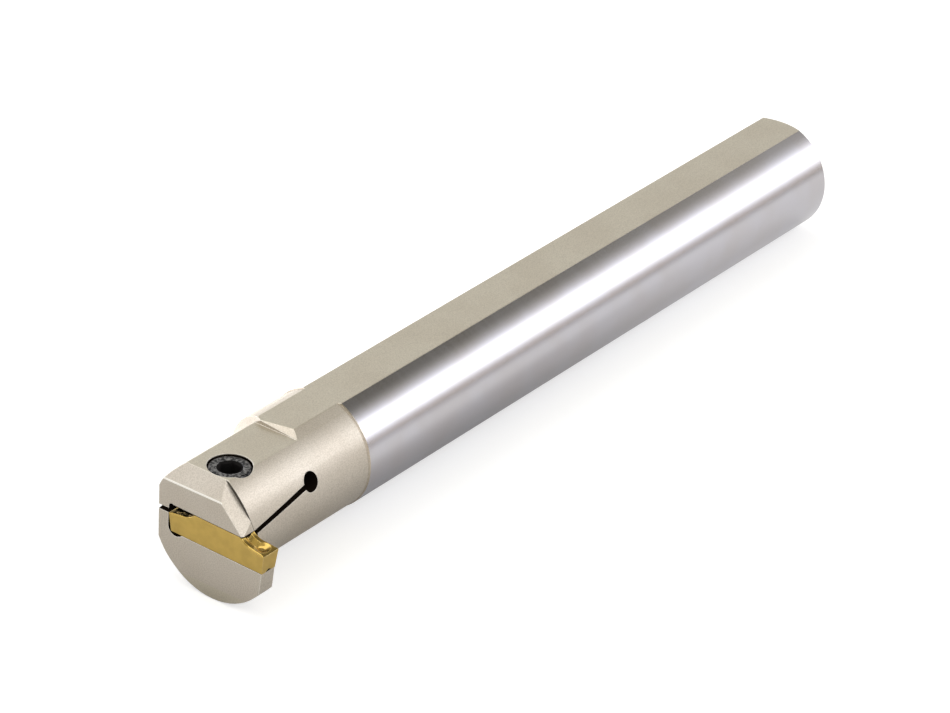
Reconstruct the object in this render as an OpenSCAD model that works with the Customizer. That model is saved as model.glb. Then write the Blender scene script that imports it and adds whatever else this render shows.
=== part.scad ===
// Internal grooving tool holder: a round steel bar whose slit head clamps a double-ended
// grooving insert across its front. X runs along the bar towards the head, Z is normal to
// the shank's top flat, and Y points to the side where the insert reaches out. The origin is
// the centre of the rear end face. All sizes are in millimetres.

/* [Shank] */
// Diameter of the ground shank
shank_d = 25; // [24:0.25:27]
// Distance from the rear end face to the front face of the blade
overall_l = 200; // [150:1:260]
// Height of the shank's two flats above and below the bar axis
flat_h = 11.6; // [11.2:0.05:11.9]
// Chamfer at the rear end
rear_chamfer = 2.2; // [1:0.1:3]

/* [Head] */
// Length of the matt head from the end of the ground shank to the front face
head_l = 38; // [34:0.5:60]
// How far the head's radius stays below that of the ground shank
head_relief = 0.2; // [0.16:0.02:0.4]
// Height of the milled flat on the head above the bar axis
head_flat_h = 10.65; // [10.4:0.05:10.9]
// Length of the milled flat on the head, measured from the front face
head_flat_l = 23; // [22.6:0.1:28]
// Length of the ramp from the shank's flat to the head's flat, at its wide end
ramp_l = 2; // [1:0.1:3]
// Angle by which the ramp's upper edge is turned away from square
ramp_skew = 12.5; // [0:0.5:20]
// Length of the slope at the front of the jaw
nose_l = 3; // [2:0.1:3.6]
// Drop of the slope at the front of the jaw
nose_drop = 3.25; // [2:0.05:4]
// Distance of the eccentric turned back's centre from the bar axis, towards the tip
back_offset = 4; // [3.8:0.1:4.2]
// Radius of the eccentric outline of the head's back
back_r = 13.4; // [13.2:0.1:13.8]
// Length of the cone where that outline runs out into the round head
back_runout = 4.2; // [3:0.1:5]
// Distance of the blade's round from the bar axis, towards the tip
blade_offset = 5.2; // [5:0.1:5.4]
// Radius of the blade's round
blade_r = 14.15; // [14:0.05:14.4]
// Distance of the head's side flat from the bar axis, on the side away from the tip
side_flat = 8.2; // [7.9:0.1:9]
// Distance of the blade's side flat from the bar axis
blade_flat = 7.9; // [7.7:0.05:8.1]
// Length of the head's side flat, measured from the front face
side_flat_l = 22; // [18:0.5:23]
// Distance of the milled chip clearance from the bar axis, on the head flat
chip_edge = 5.4; // [5:0.1:6]
// Angle by which the chip clearance leans to the side
chip_side_tilt = 46.4; // [42:0.2:50]
// Angle by which the chip clearance leans to the front
chip_front_tilt = 22.8; // [18:0.2:26]

/* [Insert] */
// Width of the insert's cutting edge
insert_w = 4.4; // [4.2:0.1:4.6]
// Length of the insert over its two cutting edges
insert_l = 23; // [22.8:0.1:24]
// Distance of the cutting edge in use from the bar axis
tip_reach = 17.5; // [17.3:0.1:18]
// Height of the insert's clamped middle above its cutting edges
insert_crown = 1.76; // [1.5:0.02:2]
// Depth of the insert below its cutting edges
insert_depth = 4.04; // [3.8:0.02:4.2]
// Length of the insert's clamped middle
insert_crown_l = 11; // [10:0.1:11.4]
// Length of the rake face behind each cutting edge
rake_l = 3.4; // [3:0.1:3.8]
// How far the rake face climbs towards the middle
rake_rise = 0.42; // [0.3:0.02:0.6]
// Clearance angle under each cutting edge
insert_relief = 6; // [5:0.5:7]
// Width that the insert's clamped middle loses against its cutting edges
insert_waist = 0.5; // [0.3:0.1:0.6]
// Depth of the V grooves along the top and bottom of the insert
groove_depth = 0.55; // [0.4:0.05:0.6]
// Half the width of those V grooves
groove_half = 0.95; // [0.8:0.05:1.1]
// Radius of the ball that forms the chip breaker in each rake face
breaker_r = 3; // [2.6:0.1:3.6]
// Depth of the chip breaker below the rake face
breaker_depth = 0.36; // [0.2:0.02:0.44]
// Distance of the chip breaker's middle behind the cutting edge
breaker_back = 2.3; // [2:0.1:2.6]

/* [Seat] */
// Thickness of the blade under the insert
blade_t = 3.9; // [3.7:0.1:4.1]
// How far the blade's end stays behind the insert's end face
blade_setback = 0.1; // [0.05:0.05:0.3]
// Angle at which the seat falls towards the cutting edge in use
seat_tilt = 1.5; // [0:0.25:2]
// Clearance between the insert and its seat, and between their V ribs and V grooves
seat_gap = 0.04; // [0.02:0.01:0.06]
// Clearance behind the insert, at the pocket's rear wall
back_gap = 0.2; // [0.15:0.05:0.4]
// Clearance between the insert's inner end and the end of the pocket
stop_gap = 0.3; // [0.2:0.05:0.4]
// Radius of the relief in the pocket's upper inner corner
corner_r = 0.75; // [0.6:0.05:0.9]
// How far the upper relief goes above the jaw's clamping face
corner_rise = 0.2; // [0.1:0.05:0.3]
// Radius of the relief in the pocket's lower inner corner
relief_r = 1.9; // [1.8:0.05:2]
// How deep the lower relief goes below the seat
relief_depth = 0.65; // [0.5:0.05:0.8]

/* [Slit] */
// Thickness of the slit that frees the jaw
slit_t = 1; // [0.6:0.1:1.2]
// Height of the slit above the bar axis, at the front face
slit_h = 0.9; // [0.7:0.05:1]
// Angle at which the slit climbs towards the rear
slit_tilt = 11.5; // [10:0.5:12]
// Diameter of the cross hole at the slit's end
relief_hole_d = 3.8; // [3:0.1:4.4]
// Distance of the cross hole behind the front face
relief_hole_back = 21; // [19:0.1:22]
// How far that hole's centre lies below the middle of the slit
relief_hole_drop = 0.7; // [0:0.1:1]

/* [Clamp screw] */
// Outside diameter of the screw's thread
screw_d = 5; // [4.5:0.1:5.4]
// Length of the screw under its head
screw_l = 16; // [14:0.5:16.5]
// Diameter of the screw's head
screw_head_d = 8.5; // [8:0.1:8.6]
// Height of the screw's head
screw_head_h = 5; // [4.5:0.1:5.2]
// Width across flats of the hexagon socket
socket_af = 4; // [3.5:0.1:4.5]
// Depth of the hexagon socket
socket_depth = 2.6; // [2:0.1:3]
// Angle at which the hexagon socket stands
socket_turn = 24.5; // [0:0.5:60]
// Distance of the screw behind the front face
screw_back = 7.45; // [7.3:0.05:7.8]
// Distance of the screw from the bar axis, towards the insert's tip
screw_side = 2.65; // [2:0.05:3]
// How far the head lies below the head flat
screw_sunk = 0.3; // [0.1:0.1:0.6]
// Clearance around the screw's head in its counterbore
head_gap = 0.15; // [0.1:0.05:0.25]
// Clearance around the thread in the jaw
jaw_gap = 0.25; // [0.2:0.05:0.4]
// Clearance around the thread in the tapped hole
thread_gap = 0.05; // [0.02:0.01:0.08]

/* [Hidden] */
$fn = 96;
big = shank_d * 2;
shank_r = shank_d / 2;
head_r = shank_r - head_relief;
front_x = overall_l;
seam_x = overall_l - head_l;
head_flat_x = front_x - head_flat_l;
side_flat_x = front_x - side_flat_l;
nose_x = front_x - nose_l;
blade_x = front_x - blade_t;
seat_mid_x = front_x - blade_t / 2;
pocket_x = seat_mid_x - insert_w / 2 - back_gap;
ceiling_z = insert_crown + seat_gap;
floor_z = -insert_depth - seat_gap;
inner_end_y = tip_reach - insert_l;
pocket_end_y = inner_end_y - stop_gap;
insert_mid_y = tip_reach - insert_l / 2;
relief_run = insert_depth * tan(insert_relief);
blade_end_y = tip_reach - insert_depth * tan(insert_relief + seat_tilt) - blade_setback;
rib_base = 0.2;
rake_foot = 0.55;
slit_slope = tan(slit_tilt);
relief_hole_z = slit_h + relief_hole_back * slit_slope - relief_hole_drop;
screw_x = front_x - screw_back;
head_top_z = head_flat_h - screw_sunk;
head_seat_z = head_top_z - screw_head_h;

// Extrudes a drawing in the Y-Z plane along the bar, from x0 to x1
module along_x(x0, x1) {
    translate([x0, 0, 0])
        rotate([90, 0, 90])
            linear_extrude(x1 - x0) children();
}

// Extrudes a drawing in the X-Z plane across the bar, from y0 to y1
module along_y(y0, y1) {
    translate([0, y1, 0])
        rotate([90, 0, 0])
            linear_extrude(y1 - y0) children();
}

// The bar as turned: rear chamfer, ground shank and the head, relieved behind a small chamfer
module turned_bar() {
    rotate([90, 0, 90])
        rotate_extrude()
            polygon([
                [0, 0],
                [shank_r - rear_chamfer, 0],
                [shank_r, rear_chamfer],
                [shank_r, seam_x - head_relief],
                [head_r, seam_x],
                [head_r, front_x],
                [0, front_x]
            ]);
}

// Everything outside the eccentric outline of the head's back, with its cone-shaped run-out
module back_cut() {
    runout_x = head_flat_x - back_runout;
    difference() {
        translate([runout_x, -big / 2, -big / 2])
            cube([big, big, big]);
        along_x(runout_x - 1, front_x + 1)
            translate([back_offset, 0]) circle(back_r);
        translate([runout_x, back_offset, 0])
            rotate([0, 90, 0])
                cylinder(h = back_runout, r1 = back_r + back_runout, r2 = back_r);
    }
}

// Tilts what lies along the seat about the cutting edge in use
module at_seat() {
    translate([0, tip_reach, 0])
        rotate([-seat_tilt, 0, 0])
            translate([0, -tip_reach, 0]) children();
}

// The thin blade under the insert, which reaches past the round head
module blade() {
    intersection() {
        along_x(blade_x, front_x)
            translate([blade_offset, 0]) circle(blade_r);
        blade_end();
    }
}

// The space below the middle of the pocket, between the blade's side flat and its end face
module blade_end() {
    end_z = floor_z - blade_r;
    along_x(blade_x - 1, front_x + 1)
        polygon([
            [-blade_flat, 0],
            [-blade_flat, end_z],
            [blade_end_y + (end_z - floor_z) * tan(insert_relief), end_z],
            [blade_end_y - floor_z * tan(insert_relief), 0]
        ]);
}

// The two long flats: one under the clamping screws of the machine, one opposite on the shank
module flat_cuts() {
    translate([-1, -big / 2, flat_h]) cube([front_x + 2, big, big]);
    translate([-1, -big / 2, -flat_h - big]) cube([seam_x + 1, big, big]);
}

// The lower flat of the head, the skewed ramp that leads down to it and the slope of the nose
module head_top_cuts() {
    step = flat_h - head_flat_h;
    edge_y = sqrt(head_r * head_r - head_flat_h * head_flat_h);
    translate([head_flat_x, -big / 2, head_flat_h]) cube([big, big, big]);
    intersection() {
        translate([head_flat_x, edge_y, head_flat_h])
            rotate([0, 0, ramp_skew])
                rotate([0, atan(step / ramp_l), 0])
                    translate([-big / 2, -big, 0]) cube([big, 2 * big, big / 2]);
        translate([seam_x, -big / 2, head_flat_h]) cube([big, big, big]);
    }
    along_y(-big / 2, big / 2)
        polygon([
            [nose_x, head_flat_h],
            [front_x, head_flat_h - nose_drop],
            [front_x + 1, head_flat_h - nose_drop],
            [front_x + 1, head_flat_h + 1],
            [nose_x, head_flat_h + 1]
        ]);
}

// The milled pocket that lets chips pass the corner of the jaw over the cutting edge
module chip_cut() {
    translate([nose_x, chip_edge, head_flat_h])
        rotate([-chip_side_tilt, 0, 0])
            rotate([0, chip_front_tilt, 0])
                translate([0, -big, 0]) cube([big, 2 * big, big]);
}

// The flat on the head's side, away from the tip
module side_flat_cut() {
    translate([side_flat_x, -side_flat - big, -big / 2]) cube([big, big, big]);
}

// The insert's pocket, open to the front and to the tip side, with its two corner reliefs
module pocket_cut() {
    corner_top = ceiling_z + corner_rise;
    corner_y = pocket_end_y + corner_r;
    relief_z = floor_z + relief_r - relief_depth;
    relief_y = pocket_end_y + relief_r;
    along_x(pocket_x, front_x + 1) {
        polygon([
            [pocket_end_y, corner_top - corner_r],
            [pocket_end_y, relief_z],
            [relief_y, floor_z],
            [big, floor_z],
            [big, ceiling_z],
            [corner_y, ceiling_z]
        ]);
        translate([corner_y, corner_top - corner_r]) circle(corner_r);
        translate([relief_y, relief_z]) circle(relief_r);
    }
}

// A V rib that stands on the seat; the rib of the jaw is the same, upside down
module seat_rib() {
    half = groove_half - seat_gap;
    high = groove_depth - seat_gap;
    polygon([
        [seat_mid_x - half, -rib_base],
        [seat_mid_x - half, 0],
        [seat_mid_x, high],
        [seat_mid_x + half, 0],
        [seat_mid_x + half, -rib_base]
    ]);
}

// The rib on the blade and the rib under the jaw, which guide the insert
module seat_ribs() {
    rib_y = pocket_end_y + 2 * relief_r;
    intersection() {
        at_seat()
            along_y(rib_y, tip_reach)
                translate([0, floor_z]) seat_rib();
        blade_end();
    }
    intersection() {
        at_seat()
            along_y(pocket_end_y + 2 * corner_r, tip_reach)
                translate([0, ceiling_z]) mirror([0, 1]) seat_rib();
        jaw_shape();
    }
}

// The outer form of the jaw, to which its rib is trimmed
module jaw_shape() {
    difference() {
        along_x(blade_x, front_x) circle(head_r);
        chip_cut();
    }
}

// The slit and the cross hole that make the jaw spring
module slit_cut() {
    along_y(-big / 2, big / 2) {
        polygon([
            [front_x + 1, slit_h - slit_slope - slit_t / 2],
            [front_x + 1, slit_h - slit_slope + slit_t / 2],
            [front_x - relief_hole_back, relief_hole_z + slit_t / 2],
            [front_x - relief_hole_back, relief_hole_z - slit_t / 2]
        ]);
        translate([front_x - relief_hole_back, relief_hole_z])
            circle(d = relief_hole_d);
    }
}

// Counterbore and clearance hole in the jaw, and the tapped hole through the body below
module screw_cuts() {
    translate([screw_x, screw_side, head_seat_z])
        cylinder(h = big, d = screw_head_d + 2 * head_gap);
    translate([screw_x, screw_side, 0])
        cylinder(h = big, d = screw_d + 2 * jaw_gap);
    translate([screw_x, screw_side, -big])
        cylinder(h = 2 * big, d = screw_d + 2 * thread_gap);
}

// The one-piece steel body
module holder() {
    color([0.74, 0.71, 0.65]) {
        difference() {
            union() {
                difference() {
                    turned_bar();
                    back_cut();
                }
                blade();
            }
            flat_cuts();
            head_top_cuts();
            chip_cut();
            side_flat_cut();
            at_seat() pocket_cut();
            slit_cut();
            screw_cuts();
        }
        seat_ribs();
    }
}

// The socket head cap screw that pulls the jaw down
module clamp_screw() {
    edge = 0.4;
    tip = 0.5;
    mouth_h = 0.3;
    mouth_r = (socket_af / 2) / cos(30) + 0.05;
    head_r2 = screw_head_d / 2;
    thread_r = screw_d / 2;
    color([0.22, 0.22, 0.23])
        translate([screw_x, screw_side, head_seat_z])
            difference() {
                rotate_extrude()
                    polygon([
                        [0, -screw_l],
                        [thread_r - tip, -screw_l],
                        [thread_r, -screw_l + tip],
                        [thread_r, 0],
                        [head_r2, 0],
                        [head_r2, screw_head_h - edge],
                        [head_r2 - edge, screw_head_h],
                        [0, screw_head_h]
                    ]);
                translate([0, 0, screw_head_h - socket_depth])
                    rotate([0, 0, socket_turn])
                        cylinder(h = socket_depth + 1, r = socket_af / sqrt(3), $fn = 6);
                translate([0, 0, screw_head_h - mouth_h])
                    cylinder(h = 2 * mouth_h, r1 = mouth_r - mouth_h, r2 = mouth_r + mouth_h);
            }
}

// One end of the insert's side outline, from its middle over the cutting edge to the bottom
function insert_end() = [
    [insert_crown_l / 2, insert_crown],
    [insert_l / 2 - rake_l - rake_foot, rake_rise + rake_foot],
    [insert_l / 2 - rake_l, rake_rise],
    [insert_l / 2, 0],
    [insert_l / 2 - relief_run, -insert_depth]
];

// The outline seen from the front, the plan and the section, whose common part is the blank
module insert_blank() {
    edge_half = insert_w / 2;
    waist_half = (insert_w - insert_waist) / 2;
    half_l = insert_l / 2;
    one_end = insert_end();
    other_end = [for (i = [len(one_end) - 1:-1:0]) [-one_end[i][0], one_end[i][1]]];
    intersection() {
        along_x(-edge_half, edge_half)
            polygon(concat(one_end, other_end));
        translate([0, 0, -insert_depth - 1])
            linear_extrude(insert_depth + insert_crown + 2)
                polygon([
                    [waist_half, -insert_crown_l / 2],
                    [waist_half, insert_crown_l / 2],
                    [edge_half, half_l],
                    [-edge_half, half_l],
                    [-waist_half, insert_crown_l / 2],
                    [-waist_half, -insert_crown_l / 2],
                    [-edge_half, -half_l],
                    [edge_half, -half_l]
                ]);
        along_y(-half_l, half_l)
            polygon([
                [edge_half, 0],
                [edge_half, insert_crown],
                [-edge_half, insert_crown],
                [-edge_half, 0],
                [-waist_half, -insert_depth],
                [waist_half, -insert_depth]
            ]);
    }
}

// The double-ended grooving insert with its V grooves and chip breakers
module insert() {
    breaker_z = rake_rise * breaker_back / rake_l - breaker_depth + breaker_r;
    color([0.72, 0.6, 0.3])
        at_seat()
            translate([seat_mid_x, insert_mid_y, 0])
                difference() {
                    insert_blank();
                    along_y(-insert_l, insert_l) {
                        translate([0, insert_crown]) groove();
                        translate([0, -insert_depth]) mirror([0, 1]) groove();
                    }
                    for (side = [-1, 1])
                        translate([0, side * (insert_l / 2 - breaker_back), breaker_z])
                            sphere(breaker_r);
                }
}

// The V of the groove in the insert's top, with a strip above it
module groove() {
    polygon([
        [-groove_half, 0],
        [0, -groove_depth],
        [groove_half, 0],
        [groove_half, 1],
        [-groove_half, 1]
    ]);
}

holder();
clamp_screw();
insert();
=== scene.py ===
"""Internal grooving tool holder: a ground steel bar whose slit head clamps a gold-coated insert."""
import math

import bpy
import numpy as np
from mathutils import Matrix, Vector


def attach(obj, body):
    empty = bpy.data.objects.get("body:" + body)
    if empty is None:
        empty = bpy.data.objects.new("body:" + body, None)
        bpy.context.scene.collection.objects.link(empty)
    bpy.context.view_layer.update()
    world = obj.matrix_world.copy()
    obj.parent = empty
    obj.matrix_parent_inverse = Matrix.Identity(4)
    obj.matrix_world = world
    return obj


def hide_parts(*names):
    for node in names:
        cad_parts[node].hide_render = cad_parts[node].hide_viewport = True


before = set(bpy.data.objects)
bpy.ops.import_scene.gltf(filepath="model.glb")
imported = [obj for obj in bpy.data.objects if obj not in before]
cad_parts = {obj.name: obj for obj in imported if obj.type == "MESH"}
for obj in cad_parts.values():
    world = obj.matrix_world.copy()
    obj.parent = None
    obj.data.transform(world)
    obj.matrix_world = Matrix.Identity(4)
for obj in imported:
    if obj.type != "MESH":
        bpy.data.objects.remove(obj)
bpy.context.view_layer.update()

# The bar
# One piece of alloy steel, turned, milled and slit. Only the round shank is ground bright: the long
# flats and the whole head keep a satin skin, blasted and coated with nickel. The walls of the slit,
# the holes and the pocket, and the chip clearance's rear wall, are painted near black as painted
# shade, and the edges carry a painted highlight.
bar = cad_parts["holder"]
front_x = 0.2
seam_x = 0.162
seam_chamfer = 0.0002
flat_z = 0.0116
flat_margin = 0.00003
head_flat_z = 0.01065
nose_edge_z = 0.0074
nose_highlight_width = 0.00018
edge_break = 0.00022
slit_height = 0.000868
slit_half = 0.0005
cross_hole = (0.179, 0.004473)
cross_hole_radius = 0.0019
slit_slope = (cross_hole[1] - slit_height) / (front_x - cross_hole[0])
tip_reach = 0.0175
seat_tilt = math.radians(1.5)
pocket_back = 0.19565
pocket_end = -0.0058
pocket_floor = -0.00408
pocket_ceiling = 0.0017
lower_relief = (-0.0039, -0.00283)
lower_relief_radius = 0.0019
upper_relief = (-0.00505, 0.00125)
upper_relief_radius = 0.00075
jaw_shadow_width = 0.00016
jaw_end = 0.0125
counterbore = (0.19255, 0.00265)
counterbore_radius = 0.0044
bore_bottom = -0.009
bore_top = 0.0104
chip_corner = (0.197, 0.0054, 0.01065)
chip_wall_normal = (0.922, -0.281, -0.267)
chip_wall_reach = 0.02
chip_wall_top = 0.0105
skin = 0.00003
ground_colour = (0.56, 0.545, 0.58, 1)
satin_colour = (0.62, 0.565, 0.49, 1)
flat_colour = (0.62, 0.57, 0.465, 1)
pit_colour = (0.34, 0.30, 0.24, 1)
stain_and_seam_shade_colour = (0.42, 0.34, 0.25, 1)
cut_shade_colour = (0.010, 0.007, 0.005, 1)
edge_highlight_colour = (0.93, 0.90, 0.83, 1)
ground_roughness = (0.18, 0.20)
satin_roughness = (0.42, 0.50)
flat_roughness = (0.33, 0.41)
cut_roughness = 0.9
nose_highlight_dullness = 0.85
noise_low = 0.3
noise_high = 0.7
wheel_line_stretch = (2500, 40, 40)
mill_line_stretch = (60, 9000, 9000)
blast_scale = 4200
cloud_scale = 90
cloud_share = 0.14
pit_share = 0.4
seam_shade_share = 0.85
edge_highlight_strength = 0.75
chip_wall_shade = 0.8
wheel_line_relief = 0.03
bar_relief_strength = 0.6
bar_relief_depth = 0.000016


def new_material(name, metallic, roughness):
    """An empty principled material with its uniform values set on the shader's own sockets."""
    material = bpy.data.materials.new(name)
    material.use_nodes = True
    shader = material.node_tree.nodes["Principled BSDF"]
    shader.inputs["Metallic"].default_value = metallic
    shader.inputs["Roughness"].default_value = roughness
    return material, material.node_tree, shader


def paint(obj, material):
    """Puts one material on every face of a piece."""
    obj.data.materials.clear()
    obj.data.materials.append(material)


def set_or_link(tree, value, socket):
    """Links a socket to another, or writes a number or a colour on it."""
    if isinstance(value, bpy.types.NodeSocket):
        tree.links.new(value, socket)
    else:
        socket.default_value = value


def math_node(tree, operation, *operands):
    """One Math node; each operand is a socket or a number."""
    node = tree.nodes.new("ShaderNodeMath")
    node.operation = operation
    for operand, socket in zip(operands, node.inputs):
        set_or_link(tree, operand, socket)
    return node.outputs[0]


def ramp_node(tree, value, low, high, out_low=0.0, out_high=1.0):
    """A smooth Map Range from low..high to out_low..out_high."""
    node = tree.nodes.new("ShaderNodeMapRange")
    node.interpolation_type = "SMOOTHSTEP"
    tree.links.new(value, node.inputs["Value"])
    node.inputs["From Min"].default_value = low
    node.inputs["From Max"].default_value = high
    node.inputs["To Min"].default_value = out_low
    node.inputs["To Max"].default_value = out_high
    return node.outputs["Result"]


def mix_node(tree, data_type, socket_type, share, first, second):
    """One Mix node between two sockets or values, by a share that is a socket."""
    node = tree.nodes.new("ShaderNodeMix")
    node.data_type = data_type
    tree.links.new(share, node.inputs["Factor"])
    for name, value in (("A", first), ("B", second)):
        set_or_link(tree, value, [s for s in node.inputs if s.name == name and s.type == socket_type][0])
    return [s for s in node.outputs if s.type == socket_type][0]


def mix_colours(tree, share, first, second):
    """Mixes two colours, each a socket or four numbers."""
    return mix_node(tree, "RGBA", "RGBA", share, first, second)


def mix_values(tree, share, first, second):
    """Mixes two numbers or value sockets."""
    return mix_node(tree, "FLOAT", "VALUE", share, first, second)


def grain(tree, scale, stretch=(1, 1, 1), detail=2.0):
    """Noise on object coordinates, with its own stretch along each axis."""
    coords = tree.nodes.new("ShaderNodeTexCoord")
    mapping = tree.nodes.new("ShaderNodeMapping")
    mapping.inputs["Scale"].default_value = stretch
    noise = tree.nodes.new("ShaderNodeTexNoise")
    noise.inputs["Scale"].default_value = scale
    noise.inputs["Detail"].default_value = detail
    tree.links.new(coords.outputs["Object"], mapping.inputs["Vector"])
    tree.links.new(mapping.outputs["Vector"], noise.inputs["Vector"])
    return noise.outputs["Fac"]


def rounded_edges(tree, radius):
    """The rounded normal of edges, and a share that is one on an edge and zero on a face."""
    bevel = tree.nodes.new("ShaderNodeBevel")
    bevel.samples = 6
    bevel.inputs["Radius"].default_value = radius
    geometry = tree.nodes.new("ShaderNodeNewGeometry")
    dot = tree.nodes.new("ShaderNodeVectorMath")
    dot.operation = "DOT_PRODUCT"
    tree.links.new(bevel.outputs["Normal"], dot.inputs[0])
    tree.links.new(geometry.outputs["Normal"], dot.inputs[1])
    share = ramp_node(tree, dot.outputs["Value"], 0.995, 0.90)
    return bevel.outputs["Normal"], share


def add_relief(tree, shader, relief, strength, depth, edge_normal):
    """Bumps a shader's normal by a relief, on top of the rounded normal of its edges."""
    bump = tree.nodes.new("ShaderNodeBump")
    bump.inputs["Strength"].default_value = strength
    bump.inputs["Distance"].default_value = depth
    tree.links.new(relief, bump.inputs["Height"])
    tree.links.new(edge_normal, bump.inputs["Normal"])
    tree.links.new(bump.outputs["Normal"], shader.inputs["Normal"])


def object_place(tree):
    """The object coordinates as a vector and as three separate sockets."""
    coords = tree.nodes.new("ShaderNodeTexCoord")
    split = tree.nodes.new("ShaderNodeSeparateXYZ")
    tree.links.new(coords.outputs["Object"], split.inputs[0])
    return coords.outputs["Object"], split.outputs[0], split.outputs[1], split.outputs[2]


def inside(tree, value, low, high):
    """One where a value lies between two limits, widened by the skin of a wall."""
    above = math_node(tree, "GREATER_THAN", value, low - skin)
    return math_node(tree, "MULTIPLY", above, math_node(tree, "LESS_THAN", value, high + skin))


def in_circle(tree, first, second, centre, radius):
    """One within a circle in the plane of two coordinates."""
    a = math_node(tree, "SUBTRACT", first, centre[0])
    b = math_node(tree, "SUBTRACT", second, centre[1])
    square = math_node(tree, "ADD", math_node(tree, "MULTIPLY", a, a),
                       math_node(tree, "MULTIPLY", b, b))
    return math_node(tree, "LESS_THAN", square, (radius + skin) ** 2)


def all_of(tree, *shares):
    """The product of several shares."""
    result = shares[0]
    for share in shares[1:]:
        result = math_node(tree, "MULTIPLY", result, share)
    return result


def any_of(tree, *shares):
    """The largest of several shares."""
    result = shares[0]
    for share in shares[1:]:
        result = math_node(tree, "MAXIMUM", result, share)
    return result


steel, tree, shader = new_material("ground_and_satin_steel", 1.0, 0.3)
paint(bar, steel)
place, along, across, height = object_place(tree)

past_seam = ramp_node(tree, along, seam_x - seam_chamfer, seam_x)
on_flat = ramp_node(tree, math_node(tree, "ABSOLUTE", height), flat_z - 2 * flat_margin,
                    flat_z - flat_margin)
on_satin = any_of(tree, past_seam, on_flat)
on_milled = any_of(tree, on_flat, inside(tree, height, head_flat_z, head_flat_z))
# A painted dark line round the shank at the seam, standing in for the shoulder's darker reflection; the
# same colour also gives random stain clouds.
seam_shade_line = all_of(tree, ramp_node(tree, along, seam_x - 2 * seam_chamfer, seam_x - seam_chamfer),
                 ramp_node(tree, along, seam_x + 2 * seam_chamfer, seam_x + seam_chamfer / 2),
                 math_node(tree, "SUBTRACT", 1.0, on_flat))
# A painted highlight along the edge between the nose and the front face.
nose_highlight = in_circle(tree, along, height, (front_x, nose_edge_z), nose_highlight_width)

slit_rise = math_node(tree, "MULTIPLY", math_node(tree, "SUBTRACT", front_x, along), slit_slope)
from_slit = math_node(tree, "SUBTRACT", math_node(tree, "SUBTRACT", height, slit_height), slit_rise)
in_slit = all_of(tree, inside(tree, from_slit, -slit_half, slit_half),
                 inside(tree, along, cross_hole[0], front_x - 2 * skin))
in_cross_hole = in_circle(tree, along, height, cross_hole, cross_hole_radius)
in_bore = all_of(tree, in_circle(tree, along, across, counterbore, counterbore_radius),
                 inside(tree, height, bore_bottom, bore_top))

# The pocket is described in the seat's own frame, which is tilted about the cutting edge.
from_tip = math_node(tree, "SUBTRACT", across, tip_reach)
seat_y = math_node(tree, "SUBTRACT", across, math_node(tree, "MULTIPLY", height, math.sin(seat_tilt)))
seat_z = math_node(tree, "ADD", math_node(tree, "MULTIPLY", from_tip, math.sin(seat_tilt)), height)
in_channel = all_of(tree, inside(tree, seat_z, pocket_floor, pocket_ceiling),
                    inside(tree, seat_y, pocket_end, 1.0))
in_reliefs = any_of(tree, in_circle(tree, seat_y, seat_z, lower_relief, lower_relief_radius),
                    in_circle(tree, seat_y, seat_z, upper_relief, upper_relief_radius))
in_pocket = all_of(tree, inside(tree, along, pocket_back, front_x - 2 * skin),
                   any_of(tree, in_reliefs, in_channel))
# A painted shadow line on the front face just above the insert, along the jaw's lower edge.
jaw_shadow_line = all_of(tree, inside(tree, seat_z, pocket_ceiling, pocket_ceiling + jaw_shadow_width),
                    inside(tree, seat_y, upper_relief[0], jaw_end),
                    inside(tree, along, pocket_back, front_x))
# Painted shade: the slit, the cross hole, the pocket, the counterbore and the line under the jaw are
# painted near black and without gloss, standing in for the shade inside them.
in_shaded_cut = any_of(tree, in_slit, in_cross_hole, in_pocket, jaw_shadow_line, in_bore)
outside_shaded_cut = math_node(tree, "SUBTRACT", 1.0, in_shaded_cut)

# Painted shade on the rear wall of the chip clearance, which lies in shade.
from_corner = tree.nodes.new("ShaderNodeVectorMath")
from_corner.operation = "SUBTRACT"
tree.links.new(place, from_corner.inputs[0])
from_corner.inputs[1].default_value = chip_corner
from_wall = tree.nodes.new("ShaderNodeVectorMath")
from_wall.operation = "DOT_PRODUCT"
tree.links.new(from_corner.outputs["Vector"], from_wall.inputs[0])
from_wall.inputs[1].default_value = chip_wall_normal
on_chip_wall = all_of(tree, inside(tree, from_wall.outputs["Value"], -skin, skin),
                      inside(tree, across, chip_corner[1], chip_wall_reach),
                      inside(tree, height, 0, chip_wall_top))

wheel_lines = grain(tree, 1.0, wheel_line_stretch)
mill_lines = grain(tree, 1.0, mill_line_stretch, 3.0)
blasted = grain(tree, blast_scale, detail=3.0)
cloud = grain(tree, cloud_scale)
edge_normal, edge_share = rounded_edges(tree, edge_break)

coat_colour = mix_colours(tree, on_milled, satin_colour, flat_colour)
plain = mix_colours(tree, on_satin, ground_colour, coat_colour)
clouded = mix_colours(tree, ramp_node(tree, cloud, 0.35, 0.65, 0.0, cloud_share), plain, stain_and_seam_shade_colour)
seam_shaded = mix_colours(tree, math_node(tree, "MULTIPLY", seam_shade_line, seam_shade_share), clouded, stain_and_seam_shade_colour)
pits = all_of(tree, ramp_node(tree, blasted, 0.35, noise_high, 0.0, pit_share), on_satin)
speckled = mix_colours(tree, pits, seam_shaded, pit_colour)
# Painted highlights: the bar's edges and the nose edge are painted a pale colour.
bar_edge_highlight = any_of(tree, math_node(tree, "MULTIPLY", edge_share, edge_highlight_strength), nose_highlight)
edges_worn_and_lit = mix_colours(tree, bar_edge_highlight, speckled, edge_highlight_colour)
wall_shade = math_node(tree, "MULTIPLY", on_chip_wall, chip_wall_shade)
chip_wall_shaded = mix_colours(tree, wall_shade, edges_worn_and_lit, cut_shade_colour)
tree.links.new(mix_colours(tree, in_shaded_cut, chip_wall_shaded, cut_shade_colour), shader.inputs["Base Color"])

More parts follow.
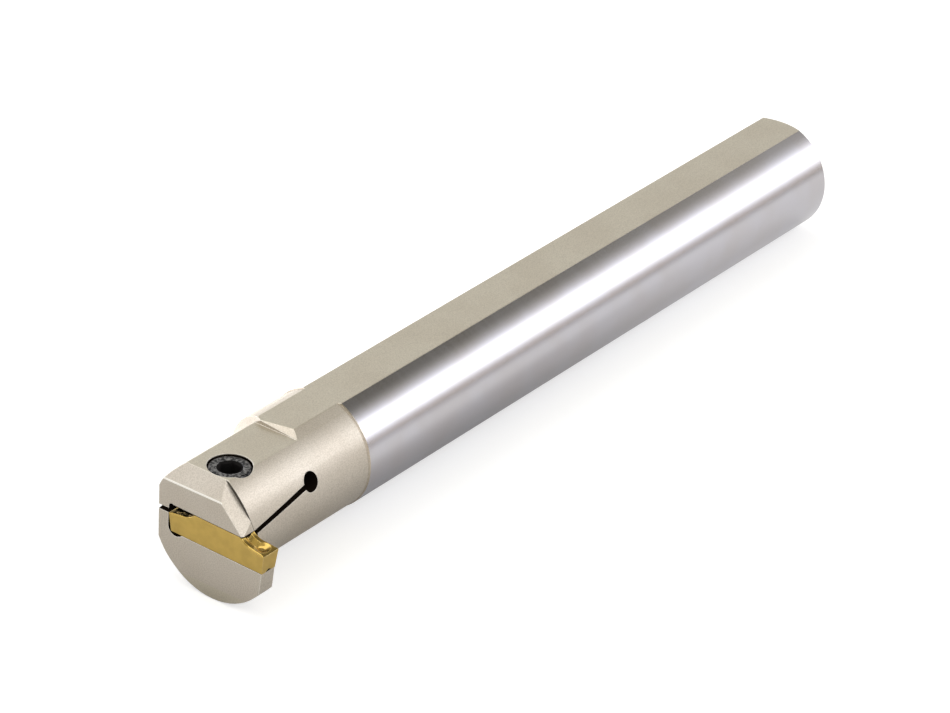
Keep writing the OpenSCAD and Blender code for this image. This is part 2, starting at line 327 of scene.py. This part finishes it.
ground_rough = ramp_node(tree, wheel_lines, noise_low, noise_high, *ground_roughness)
satin_rough = ramp_node(tree, blasted, noise_low, noise_high, *satin_roughness)
flat_rough = ramp_node(tree, mill_lines, noise_low, noise_high, *flat_roughness)
skin_rough = mix_values(tree, on_satin, ground_rough,
                        mix_values(tree, on_milled, satin_rough, flat_rough))
tree.links.new(mix_values(tree, in_shaded_cut, skin_rough, cut_roughness), shader.inputs["Roughness"])
# The nose edge's painted highlight is made less metallic, so that it catches the diffuse light.
metal = math_node(tree, "MULTIPLY_ADD", nose_highlight, -nose_highlight_dullness, 1.0)
tree.links.new(math_node(tree, "MULTIPLY", outside_shaded_cut, metal), shader.inputs["Metallic"])
tree.links.new(math_node(tree, "MULTIPLY", outside_shaded_cut, 0.5), shader.inputs["Specular IOR Level"])
bar_relief = mix_values(tree, on_satin, math_node(tree, "MULTIPLY", wheel_lines, wheel_line_relief),
                        mix_values(tree, on_milled, blasted, mill_lines))
add_relief(tree, shader, bar_relief, bar_relief_strength, bar_relief_depth, edge_normal)

# The insert
# Sintered tungsten carbide with a gold-coloured hard coating, pressed with a V along its top and
# bottom and a chip breaker behind each cutting edge. It slides into the pocket on its two V's.
insert_length = 0.023
insert_width = 0.0044
insert_waist = 0.0005
insert_depth = 0.00404
insert_relief = math.tan(math.radians(6))
blade_thickness = 0.0039
insert_mid_x = front_x - blade_thickness / 2
corner_radius = 0.0001
slope_rounding = 0.00025
slope_start = 0.0052
slope_end = 0.0114
slope_blend = 0.0006
tip_blend = 0.0008
waist_end = 0.0105
waist_blend = 0.005
foot_radius = 0.00004
v_depth = 0.00055
v_half = 0.00095
v_end = 0.0080
v_blend = 0.0012
v_slope_gain = 0.4
bowl_back = 0.0095
bowl_half_width = 0.0019
bowl_half_length = 0.0015
bowl_depth = 0.0005
bowl_power = 1.6
ring_crowding = 0.35
gold_colour = (0.60, 0.415, 0.115, 1)
gold_shade = (0.40, 0.27, 0.075, 1)
gold_edge_highlight = (0.86, 0.70, 0.40, 1)
gold_side_roughness = (0.30, 0.42)
gold_top_roughness = (0.18, 0.26)
gold_edge_break = 0.00012
gold_edge_highlight_share = 0.6
patch_share = 0.35
top_shade = 0.45
press_scale = 7000
patch_scale = 420
press_strength = 0.3
press_depth = 0.000005


def ring_mesh(name, points):
    """A mesh over rows of closed rings, with a fan of triangles closing each end."""
    rows, around = points.shape[:2]
    index = np.arange(rows * around).reshape(rows, around)
    following = np.roll(index, -1, axis=1)
    quads = np.stack([index[:-1], following[:-1], following[1:], index[1:]], axis=-1).reshape(-1, 4)
    centres = np.stack([points[0].mean(axis=0), points[-1].mean(axis=0)])
    vertices = np.concatenate([points.reshape(-1, 3), centres])
    first, last = rows * around, rows * around + 1
    start = np.stack([following[0], index[0], np.full(around, first)], axis=-1)
    end = np.stack([index[-1], following[-1], np.full(around, last)], axis=-1)
    mesh = bpy.data.meshes.new(name)
    mesh.from_pydata(vertices.tolist(), [], quads.tolist() + start.tolist() + end.tolist())
    mesh.update()
    piece = bpy.data.objects.new(name, mesh)
    bpy.context.scene.collection.objects.link(piece)
    return piece


def smooth_by_angle(piece, degrees):
    """Smooth faces, with every edge sharper than the angle kept hard."""
    bpy.context.view_layer.objects.active = piece
    piece.select_set(True)
    bpy.ops.object.shade_smooth_by_angle(angle=math.radians(degrees))
    piece.select_set(False)


def ridge_height(away):
    """Height of the insert's top at a distance from its middle.

    It is level over the clamped crown, falls in an S to the rake face, and the rake face falls
    gently to the cutting edge, at height zero.
    """
    places = np.array([0, 5.5, 5.8, 6.2, 6.7, 7.4, 8.2, 9.5, 10.6, 11.3, 11.6]) / 1000
    heights = np.array([1.76, 1.76, 1.6, 1.24, 0.9, 0.62, 0.48, 0.38, 0.22, 0.08, 0.0]) / 1000
    return np.interp(away, places, heights)


def insert_surface(rows, top_points, side_points):
    """Rings round the insert from end to end.

    A ring is the section at a distance s from the middle: the top is the ridge height P(s) less a V
    along the crown and an oval bowl in the rake face, the sides lean in towards the bottom, and the
    bottom carries the same V. The ends lean back under the cutting edge by the clearance angle.
    """
    half = insert_length / 2
    even = np.linspace(-1, 1, rows)
    reach = ring_crowding * np.sin(even * math.pi / 2) + (1 - ring_crowding) * even
    s = reach * half
    away = np.abs(s)
    ridge = ridge_height(away)
    half_top = insert_width / 2 - insert_waist / 2 * np.clip((waist_end - away) / waist_blend, 0, 1)
    half_low = np.full_like(half_top, (insert_width - insert_waist) / 2 - foot_radius)
    past_crown = np.clip((away - slope_start) / slope_blend, 0, 1)
    slope = past_crown * np.clip((slope_end - away) / tip_blend, 0, 1)
    corner = (corner_radius + slope_rounding * slope)[:, None]
    u = np.linspace(-1, 1, top_points)
    x_top = u[None, :] * (half_top[:, None] - corner)
    x_low = u[None, :] * (half_low[:, None] - foot_radius)
    fall = np.clip((away - v_end) / v_blend, 0, 1)
    v_along = v_depth * (1 + v_slope_gain * slope) * (1 - fall)
    v_top = v_along[:, None] * np.clip(1 - np.abs(x_top) / v_half, 0, 1)
    v_low = v_depth * np.clip(1 - np.abs(x_low) / v_half, 0, 1)
    bowl_x = x_top / bowl_half_width
    bowl_y = (away[:, None] - bowl_back) / bowl_half_length
    bowl = bowl_depth * np.clip(1 - bowl_x ** 2 - bowl_y ** 2, 0, 1) ** bowl_power
    z_top = ridge[:, None] - v_top - bowl
    z_low = -insert_depth + v_low
    side = np.linspace(0, 1, side_points)
    turn = np.linspace(0, math.pi / 2, 5)[1:-1]
    x_round = half_top[:, None] - corner * (1 - np.sin(turn))[None, :]
    z_round = ridge[:, None] - corner * (1 - np.cos(turn))[None, :]
    x_side = half_top[:, None] * (1 - side) + half_low[:, None] * side
    z_side = (ridge[:, None] - corner) * (1 - side) + (-insert_depth + foot_radius) * side
    x_foot = half_low[:, None] - foot_radius * (1 - np.cos(turn))[None, :]
    z_foot = -insert_depth + foot_radius * (1 - np.sin(turn))[None, :] + np.zeros_like(x_foot)
    x = np.concatenate([x_top, x_round, x_side, x_foot, x_low[:, ::-1],
                        -x_foot[:, ::-1], -x_side[:, ::-1], -x_round[:, ::-1]], axis=1)
    z = np.concatenate([z_top, z_round, z_side, z_foot, z_low[:, ::-1],
                        z_foot[:, ::-1], z_side[:, ::-1], z_round[:, ::-1]], axis=1)
    y = s[:, None] - reach[:, None] * np.clip(-z, 0, 1) * insert_relief
    return np.stack([x, y, z], axis=-1)


def seat_place(points):
    """From the insert's own frame to its place on the seat, tilted about the edge in use."""
    x = points[..., 0] + insert_mid_x
    run = points[..., 1] - insert_length / 2
    y = tip_reach + run * math.cos(seat_tilt) + points[..., 2] * math.sin(seat_tilt)
    z = points[..., 2] * math.cos(seat_tilt) - run * math.sin(seat_tilt)
    return np.stack([x, y, z], axis=-1)


insert = ring_mesh("grooving_insert", seat_place(insert_surface(141, 41, 9))[::-1])
smooth_by_angle(insert, 28)
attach(insert, "insert")
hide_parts("insert")

gold, tree, shader = new_material("gold_coating", 1.0, 0.34)
paint(insert, gold)
pressed = grain(tree, press_scale, detail=3.0)
patches = grain(tree, patch_scale)
edge_normal, edge_share = rounded_edges(tree, gold_edge_break)
geometry = tree.nodes.new("ShaderNodeNewGeometry")
facing = tree.nodes.new("ShaderNodeSeparateXYZ")
tree.links.new(geometry.outputs["Normal"], facing.inputs[0])
on_top = ramp_node(tree, facing.outputs[2], 0.2, 0.4)
# Random patches darken the gold, and faces turned upwards are painted darker as painted shade that tones
# down the overhead lamp's reflection.
patches_and_top_shade = math_node(tree, "ADD", ramp_node(tree, patches, noise_low, noise_high, 0.0, patch_share),
                  math_node(tree, "MULTIPLY", on_top, top_shade))
tone = mix_colours(tree, patches_and_top_shade, gold_colour, gold_shade)
# Painted highlight: the insert's rounded edges are painted a lighter gold.
edge_wear_and_highlight = math_node(tree, "MULTIPLY", edge_share, gold_edge_highlight_share)
tree.links.new(mix_colours(tree, edge_wear_and_highlight, tone, gold_edge_highlight), shader.inputs["Base Color"])
side_rough = ramp_node(tree, pressed, noise_low, noise_high, *gold_side_roughness)
top_rough = ramp_node(tree, pressed, noise_low, noise_high, *gold_top_roughness)
tree.links.new(mix_values(tree, on_top, side_rough, top_rough), shader.inputs["Roughness"])
add_relief(tree, shader, pressed, press_strength, press_depth, edge_normal)

# The clamp screw
# A socket head cap screw of black oxidised alloy steel. Its knurled head sits in the jaw's
# counterbore and its thread is screwed into the body below the slit.
screw_x, screw_y = counterbore
screw_top = 0.01035
screw_length = 0.016
head_height = 0.005
head_radius = 0.00425
knurl_depth = 0.00006
knurl_ridges = 60
thread_radius = 0.0025
thread_pitch = 0.0008
thread_depth = 0.00045
thread_runout = 0.0008
socket_half = 0.002
socket_depth = 0.0026
socket_angle = math.radians(24.5)
socket_mouth_radius = 0.0026
socket_mouth_depth = 0.00012
oxide_dark = (0.012, 0.012, 0.013, 1)
oxide_rubbed = (0.21, 0.205, 0.20, 1)
oxide_edge = (0.34, 0.34, 0.36, 1)
socket_shade_colour = (0.012, 0.011, 0.011, 1)
oxide_roughness = (0.34, 0.48)
oxide_edge_break = 0.00012
oxide_edge_wear = 0.7
rub_scale = 2000
rub_strength = 0.3
rub_depth = 0.000006


def screw_surface(around):
    """Rings from the screw's tip to the drill point in its socket, as radius against height.

    The thread's radius follows a flattened triangle wave of height less a pitch a turn, the head's
    side carries a straight knurl, and the socket's rings blend from a circle to a hexagon, whose
    radius is half its width over the cosine of the angle from the nearest flat's middle.
    """
    angle = np.linspace(0, 2 * math.pi, around, endpoint=False)[None, :]
    ring = np.zeros_like(angle)
    seat = -head_height
    tip = -head_height - screw_length
    tip_r = np.array([0.0006, 0.0019])[:, None] + ring
    tip_z = np.array([tip, tip])[:, None] + ring
    z_thread = np.linspace(tip + 0.0006, seat - thread_runout, 150)[:, None]
    wave = np.abs(((z_thread / thread_pitch - angle / (2 * math.pi)) % 1) * 2 - 1)
    fade = np.clip((seat - thread_runout - z_thread) / 0.0006, 0, 1)
    r_thread = thread_radius - thread_depth * np.clip(wave * 1.25 - 0.125, 0, 1) * fade
    z_thread = z_thread + ring
    neck_r = np.array([thread_radius, thread_radius, head_radius - 0.0002])[:, None] + ring
    neck_z = np.array([seat - 0.0007, seat, seat])[:, None] + ring
    z_knurl = np.linspace(seat + 0.0002, -0.0006, 10)[:, None] + ring
    ridge = np.clip(np.sin(knurl_ridges * angle) * 1.6, -1, 1) * knurl_depth
    r_knurl = head_radius - knurl_depth + ridge * np.ones((10, 1))
    rim_r = np.array([4.22, 4.10, 3.95, 3.80, 2.95, 2.62])[:, None] / 1000 + ring
    rim_z = np.array([-0.42, -0.16, -0.04, 0.0, 0.0, -0.04])[:, None] / 1000 + ring
    sector = (angle - socket_angle) % (math.pi / 3) - math.pi / 6
    hexagon = socket_half / np.cos(sector)
    mouth_r = np.maximum(hexagon, np.array([2.42, 2.24])[:, None] / 1000)
    mouth_z = np.array([-0.22, -0.38])[:, None] / 1000 + ring
    wall_r = hexagon * np.ones((4, 1))
    wall_z = np.array([-0.0005, -0.0012, -0.0019, -socket_depth])[:, None] + ring
    cone_r = np.array([0.0018, 0.0009, 0.0001])[:, None] + ring
    cone_z = -socket_depth - np.array([0.00008, 0.0004, 0.0007])[:, None] + ring
    r = np.concatenate([tip_r, r_thread, neck_r, r_knurl, rim_r, mouth_r, wall_r, cone_r])
    z = np.concatenate([tip_z, z_thread, neck_z, z_knurl, rim_z, mouth_z, wall_z, cone_z])
    return np.stack([screw_x + r * np.cos(angle), screw_y + r * np.sin(angle), screw_top + z], axis=-1)


screw = ring_mesh("cap_screw", screw_surface(240))
smooth_by_angle(screw, 35)
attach(screw, "clamp_screw")
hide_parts("clamp_screw")

black, tree, shader = new_material("black_oxide", 1.0, 0.4)
paint(screw, black)
rub = grain(tree, rub_scale, detail=3.0)
edge_normal, edge_share = rounded_edges(tree, oxide_edge_break)
place, along, across, height = object_place(tree)
# Painted shade: the hexagon socket is painted black and without gloss, standing in for the shade inside
# it.
in_mouth = in_circle(tree, along, across, (screw_x, screw_y), socket_mouth_radius)
below_top = math_node(tree, "LESS_THAN", height, screw_top - socket_mouth_depth)
in_socket = math_node(tree, "MULTIPLY", in_mouth, below_top)
not_socket = math_node(tree, "SUBTRACT", 1.0, in_socket)
oxide = mix_colours(tree, ramp_node(tree, rub, 0.38, 0.66), oxide_dark, oxide_rubbed)
edge_wear_and_highlight = math_node(tree, "MULTIPLY", edge_share, oxide_edge_wear)
edges_worn_and_lit = mix_colours(tree, edge_wear_and_highlight, oxide, oxide_edge)
tree.links.new(mix_colours(tree, in_socket, edges_worn_and_lit, socket_shade_colour), shader.inputs["Base Color"])
tree.links.new(not_socket, shader.inputs["Metallic"])
tree.links.new(math_node(tree, "MULTIPLY", not_socket, 0.5), shader.inputs["Specular IOR Level"])
tree.links.new(ramp_node(tree, rub, noise_low, noise_high, *oxide_roughness), shader.inputs["Roughness"])
add_relief(tree, shader, rub, rub_strength, rub_depth, edge_normal)

# The studio
# A pale floor touches the blade's round and the rear edge of the lower flat, where the tool comes to
# rest. The room is bright behind the tool, and soft boxes stand overhead, front left, beside the
# tip and to the left. Metal sees the floor glow to its sides, and the camera sees it white.
rest_front = 0.0142
rest_rear = 0.0116
floor_tilt = math.atan((rest_front - rest_rear) / front_x)
floor_grey = 0.56
glow_left = (-0.008, -0.035, 0.0, 1.6)
glow_left_end = (0.2, 0.18)
glow_right = (0.018, 0.05, 0.0, 0.30)
glow_right_end = (0.20, 0.09)
glow_rear = (0.13, 0.0, 0.0, 0.28)
glow_rear_start = (0.0, 0.01)
glow_front = (0.2, 0.22, 0.0, 0.18)
bpy.ops.mesh.primitive_plane_add(size=12, location=(0, 0, -rest_rear), rotation=(0, floor_tilt, 0))
floor = bpy.context.object
floor.name = "floor"
pale, tree, shader = new_material("pale_floor", 0.0, 0.7)
shader.inputs["Base Color"].default_value = (floor_grey, floor_grey, floor_grey, 1)
shader.inputs["Emission Color"].default_value = (1, 1, 1, 1)
paint(floor, pale)
rays = tree.nodes.new("ShaderNodeLightPath")
seen = math_node(tree, "ADD", rays.outputs["Is Camera Ray"], rays.outputs["Is Transmission Ray"])
place, along, across, height = object_place(tree)
to_left = all_of(tree, ramp_node(tree, across, *glow_left), ramp_node(tree, along, *glow_left_end))
right_end = ramp_node(tree, across, *glow_right_end)
to_right = all_of(tree, ramp_node(tree, across, *glow_right), right_end)
to_rear = all_of(tree, ramp_node(tree, along, *glow_rear),
                 all_of(tree, ramp_node(tree, across, *glow_rear_start), right_end))
to_front = ramp_node(tree, along, *glow_front)
glow = math_node(tree, "ADD", math_node(tree, "ADD", to_left, to_front),
                 any_of(tree, to_right, to_rear))
tree.links.new(math_node(tree, "ADD", math_node(tree, "MULTIPLY", glow, rays.outputs["Is Glossy Ray"]),
                         math_node(tree, "MULTIPLY", seen, floor_grey)),
               shader.inputs["Emission Strength"])

# The room's strength and tint change with the direction. Each range below gives two places on one
# axis of a direction, and then the strengths at them where these aren't zero and one.
ring_dim = (0.55, 0.72, 0.93, 0.10)
ring_bright = (0.76, 0.88, 0.10, 0.85)
horizon_dim = (0.0, 0.14, 0.64, 0.93)
front_half = (-0.2, 0.2, 0.0, 0.93)
band_bottom = (0.09, 0.33)
band_top = (0.58, 0.42)
band_rear = (-0.35, -0.60)
band_right = (0.0, 0.3)
band_strength = 2.3
horizon_tint = (1.0, 0.90, 0.80, 1)
band_tint = (0.96, 0.98, 1.04, 1)
upper_tint = (1.0, 0.95, 0.78, 1)
world = bpy.data.worlds.new("studio")
bpy.context.scene.world = world
world.use_nodes = True
tree = world.node_tree
background = tree.nodes["Background"]
direction = tree.nodes.new("ShaderNodeTexCoord")
split = tree.nodes.new("ShaderNodeSeparateXYZ")
tree.links.new(direction.outputs["Generated"], split.inputs[0])
forward, sideways, upward = split.outputs[0], split.outputs[1], split.outputs[2]
rays = tree.nodes.new("ShaderNodeLightPath")
ring = any_of(tree, ramp_node(tree, upward, *ring_dim), ramp_node(tree, upward, *ring_bright))
low_band = any_of(tree, ramp_node(tree, upward, *horizon_dim), ramp_node(tree, forward, *front_half))
bright = all_of(tree, ramp_node(tree, upward, *band_bottom), ramp_node(tree, upward, *band_top),
                ramp_node(tree, forward, *band_rear), ramp_node(tree, sideways, *band_right))
room = math_node(tree, "ADD", math_node(tree, "MINIMUM", ring, low_band),
                 math_node(tree, "MULTIPLY", bright, band_strength))
tint = mix_colours(tree, ramp_node(tree, upward, 0.04, 0.16), horizon_tint, (1, 1, 1, 1))
tint = mix_colours(tree, bright, tint, band_tint)
tint = mix_colours(tree, ramp_node(tree, upward, 0.56, 0.68), tint, upper_tint)
tree.links.new(tint, background.inputs["Color"])
tree.links.new(any_of(tree, room, rays.outputs["Is Camera Ray"]), background.inputs["Strength"])


def soft_box(name, aim, direction, distance, width, height, radiance):
    """A rectangular lamp seen from a point in a direction; its power is radiance x pi x area."""
    lamp = bpy.data.lights.new(name, "AREA")
    lamp.shape = "RECTANGLE"
    lamp.size = width
    lamp.size_y = height
    lamp.energy = radiance * math.pi * width * height
    lamp.color = (0.96, 0.98, 1.04)
    stand = bpy.data.objects.new(name, lamp)
    bpy.context.scene.collection.objects.link(stand)
    stand.location = Vector(aim) + Vector(direction).normalized() * distance
    stand.rotation_euler = (stand.location - Vector(aim)).to_track_quat("Z", "Y").to_euler()


head_point = (front_x, 0, 0)
soft_box("overhead", head_point, (-0.13, -0.40, 0.906), 1.3, 0.9, 0.9, 1.7)
soft_box("front_left", head_point, (0.66, -0.45, 0.60), 1.4, 0.8, 0.8, 0.9)
soft_box("tip_side", head_point, (0.0, 0.72, 0.68), 1.3, 0.8, 0.7, 2.15)
soft_box("left_side", (0.15, 0, 0), (-0.05, -0.95, 0.30), 1.6, 1.6, 0.7, 2.0)

# The camera
# It stands in front of the head, to its right and above, at the photograph's viewing angle, and has
# a long lens.
camera_place = (0.748762, 0.453928, 0.435904)
camera_right = (-0.601645, 0.797281, 0.048654)
camera_back = (0.711031, 0.506814, 0.487416)
camera_data = bpy.data.cameras.new("camera")
camera_data.sensor_width = 36
camera_data.lens = 168.52
camera = bpy.data.objects.new("camera", camera_data)
bpy.context.scene.collection.objects.link(camera)
right = Vector(camera_right).normalized()
back = Vector(camera_back).normalized()
up = back.cross(right).normalized()
camera.location = camera_place
camera.rotation_euler = Matrix((right, up, back)).transposed().to_euler()
bpy.context.scene.camera = camera
bpy.context.scene.view_settings.view_transform = "Standard"
